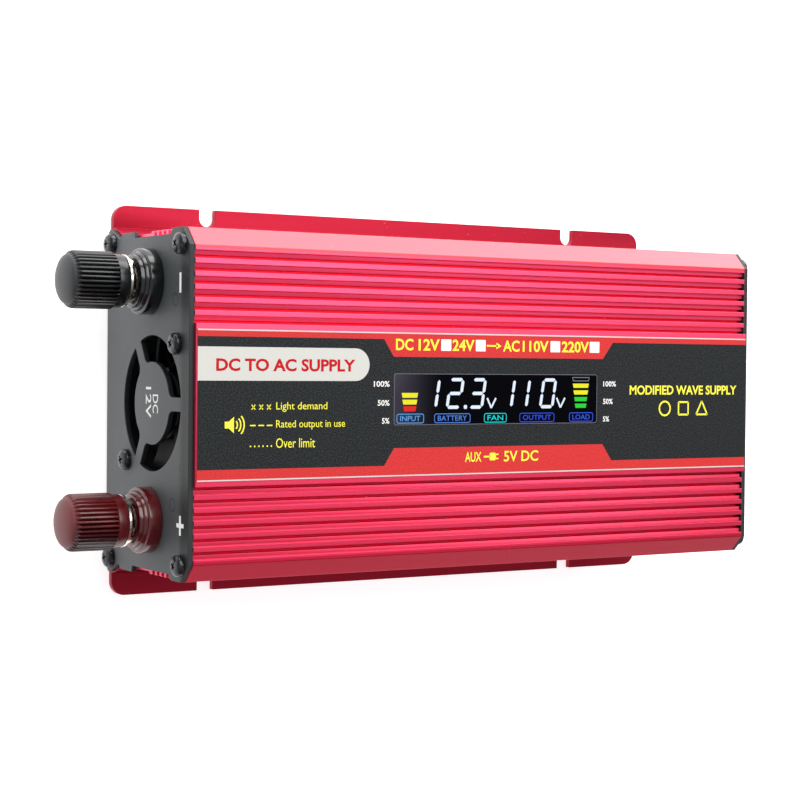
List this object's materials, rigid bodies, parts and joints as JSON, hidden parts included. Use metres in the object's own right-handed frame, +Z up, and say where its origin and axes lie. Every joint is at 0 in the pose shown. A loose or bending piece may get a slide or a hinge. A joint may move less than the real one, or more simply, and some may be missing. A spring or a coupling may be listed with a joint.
{
  "type": "power inverter",
  "caption": "DC to AC power inverter: finned extruded case with slotted flanges, binding posts, fan, display, mains socket, USB port and switch.",
  "frame": {"origin": "centre of the mounting plane, under the middle of the case", "axes": "+X along the case from the DC end to the AC end, +Y towards the negative post's side, +Z up, out of the label face"},
  "size_m": [0.2208, 0.111, 0.0566],
  "materials": {
    "shell": "satin anodised",
    "base": "satin anodised",
    "end_plate": "fine matt powder coat",
    "label": "printed overlay",
    "window": "clear",
    "display": "smooth",
    "board": "solder mask",
    "screw_black": "black zinc",
    "black_plastic": "moulded",
    "maroon_plastic": "moulded",
    "dark_plastic": "moulded",
    "white_plastic": "moulded",
    "nickel": "nickel plated",
    "brass": "turned",
    "steel": "zinc plated",
    "cable_black": "smooth",
    "cable_red": "smooth",
    "cable_yellow": "smooth",
    "cable_blue": "smooth",
    "copper": "enamelled wire",
    "ferrite": "sintered",
    "tape": "tape",
    "sleeve": "shrink sleeve",
    "aluminium_bar": "mill",
    "silicone": "matt",
    "red_plastic": "moulded",
    "green_lens": "moulded",
    "red_lens": "moulded",
    "green_plastic": "moulded"
  },
  "bodies": {
    "case": {"top_shell": "shell", "bottom_plate": "base", "dc_end_plate": "end_plate", "ac_end_plate": "end_plate", "dc_end_screws": "screw_black", "ac_end_screws": "screw_black", "label_sheet": "label", "display_window": "window", "display_module": "display", "display_board": "board", "display_ribbon": "white_plastic", "negative_base": "black_plastic", "negative_stud": "nickel", "negative_insulator": "black_plastic", "negative_nut": "steel", "negative_terminal": "nickel", "negative_cable": "cable_black", "positive_base": "maroon_plastic", "positive_stud": "nickel", "positive_insulator": "maroon_plastic", "positive_nut": "steel", "positive_terminal": "nickel", "positive_cable": "cable_red", "fan_frame": "dark_plastic", "fan_stator": "copper", "fan_bearing": "brass", "fan_screws": "screw_black", "fan_nuts": "steel", "fan_lead": "cable_yellow", "ac_socket_face": "dark_plastic", "ac_socket_body": "white_plastic", "ac_contacts": "brass", "ac_leads": "cable_blue", "usb_shell": "steel", "usb_tongue": "white_plastic", "usb_board": "board", "switch_frame": "dark_plastic", "switch_tabs": "nickel", "power_led": "green_lens", "fault_led": "red_lens", "main_board": "board", "board_standoffs": "brass", "board_screws": "steel", "transformer_core": "ferrite", "transformer_winding": "tape", "input_capacitors": "sleeve", "output_capacitor": "sleeve", "mosfets": "dark_plastic", "insulating_strips": "silicone", "clamp_bars": "aluminium_bar", "control_board": "board", "output_choke": "copper", "blade_fuses": "green_plastic", "buzzer": "dark_plastic"},
    "negative_washer": {"negative_washer": "nickel"},
    "negative_knob": {"negative_knob": "black_plastic"},
    "positive_washer": {"positive_washer": "nickel"},
    "positive_knob": {"positive_knob": "maroon_plastic"},
    "fan_rotor": {"fan_rotor": "dark_plastic"},
    "switch_rocker": {"switch_rocker": "red_plastic"}
  },
  "joints": [
    {"name": "negative_travel", "type": "slide", "parent": "case", "child": "negative_washer", "axis": [1, 0, 0], "range_m": [-0.004, 0.0009]},
    {"name": "negative_turn", "type": "hinge", "parent": "negative_washer", "child": "negative_knob", "pos_m": [-0.113, 0.0328, 0.0306], "axis": [1, 0, 0], "range_deg": [-1440, 324]},
    {"name": "positive_travel", "type": "slide", "parent": "case", "child": "positive_washer", "axis": [1, 0, 0], "range_m": [-0.004, 0.0009]},
    {"name": "positive_turn", "type": "hinge", "parent": "positive_washer", "child": "positive_knob", "pos_m": [-0.113, -0.0316, 0.0306], "axis": [1, 0, 0], "range_deg": [-1440, 324]},
    {"name": "fan_spin", "type": "hinge", "parent": "case", "child": "fan_rotor", "pos_m": [-0.09, 0, 0.0319], "axis": [1, 0, 0], "continuous": true},
    {"name": "switch_rock", "type": "hinge", "parent": "case", "child": "switch_rocker", "pos_m": [0.0935, -0.018, 0.029], "axis": [0, 1, 0], "range_deg": [0, 18]}
  ],
  "couplings": [
    {"joint": "negative_turn", "follows": "negative_travel", "rad_per_m": 6283.2},
    {"joint": "positive_turn", "follows": "positive_travel", "rad_per_m": 6283.2}
  ]
}
